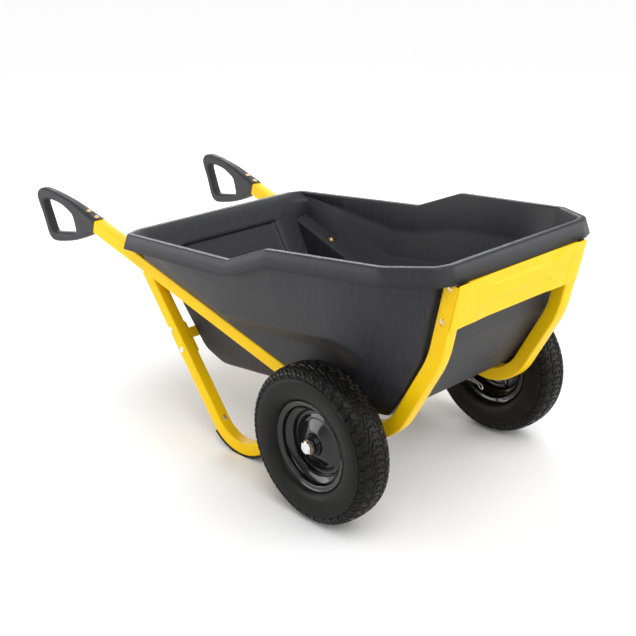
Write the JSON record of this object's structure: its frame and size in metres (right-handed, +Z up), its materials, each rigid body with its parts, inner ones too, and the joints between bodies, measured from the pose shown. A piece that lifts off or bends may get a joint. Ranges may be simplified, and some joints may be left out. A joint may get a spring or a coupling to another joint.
{
  "type": "garden cart",
  "caption": "Garden cart with a deep sloped poly tub carried in a bent square-tube frame, with side wheels, V-shaped legs and closed loop grips for pushing and tipping.",
  "frame": {"origin": "centre of the cart's bounding box in plan, on the floor it stands on", "axes": "+Y towards the grips (the nose with the front plate faces -Y), +Z up, +X towards the cart's left side as seen by the person who pushes it"},
  "size_m": [0.7916, 1.5809, 0.693],
  "materials": {
    "frame_paint": "smooth bright yellow powder coat",
    "tub_plastic": "charcoal moulded polyethylene, lightly textured",
    "tyre_rubber": "black rubber with a block tread",
    "rim_paint": "gloss black enamel",
    "black_rubber": "matte black rubber",
    "grip_plastic": "dark grey textured grip",
    "dark_steel": "dark turned steel",
    "zinc_steel": "yellow zinc plate"
  },
  "bodies": {
    "frame": {"front_plate": "frame_paint", "left_axle_bolt": "zinc_steel", "left_axle_bracket": "rim_paint", "left_axle_spacer": "dark_steel", "left_axle_washer": "zinc_steel", "left_brace_bolt_1": "zinc_steel", "left_brace_bolt_2": "zinc_steel", "left_foot_pad": "black_rubber", "left_foot_screw": "zinc_steel", "left_frame_tube": "frame_paint", "left_grip": "grip_plastic", "left_grip_bolt_1": "zinc_steel", "left_grip_bolt_2": "zinc_steel", "left_hitch_pin": "zinc_steel", "left_leg": "frame_paint", "left_plate_bolt_1": "zinc_steel", "left_plate_bolt_2": "zinc_steel", "left_tub_bolt": "zinc_steel", "leg_brace": "frame_paint", "right_axle_bolt": "zinc_steel", "right_axle_bracket": "rim_paint", "right_axle_spacer": "dark_steel", "right_axle_washer": "zinc_steel", "right_brace_bolt_1": "zinc_steel", "right_brace_bolt_2": "zinc_steel", "right_foot_pad": "black_rubber", "right_foot_screw": "zinc_steel", "right_frame_tube": "frame_paint", "right_grip": "grip_plastic", "right_grip_bolt_1": "zinc_steel", "right_grip_bolt_2": "zinc_steel", "right_hitch_pin": "zinc_steel", "right_leg": "frame_paint", "right_plate_bolt_1": "zinc_steel", "right_plate_bolt_2": "zinc_steel", "right_tub_bolt": "zinc_steel", "tub": "tub_plastic"},
    "left_wheel": {"left_tyre": "tyre_rubber", "left_rim": "rim_paint", "left_hub": "rim_paint", "left_outer_bearing": "dark_steel", "left_inner_bearing": "dark_steel", "left_valve_stem": "black_rubber"},
    "right_wheel": {"right_tyre": "tyre_rubber", "right_rim": "rim_paint", "right_hub": "rim_paint", "right_outer_bearing": "dark_steel", "right_inner_bearing": "dark_steel", "right_valve_stem": "black_rubber"}
  },
  "joints": [
    {"name": "left_wheel_spin", "type": "hinge", "parent": "frame", "child": "left_wheel", "pos_m": [0.3458, -0.4745, 0.2], "axis": [1, 0, 0], "continuous": true},
    {"name": "right_wheel_spin", "type": "hinge", "parent": "frame", "child": "right_wheel", "pos_m": [-0.3458, -0.4745, 0.2], "axis": [1, 0, 0], "continuous": true}
  ]
}
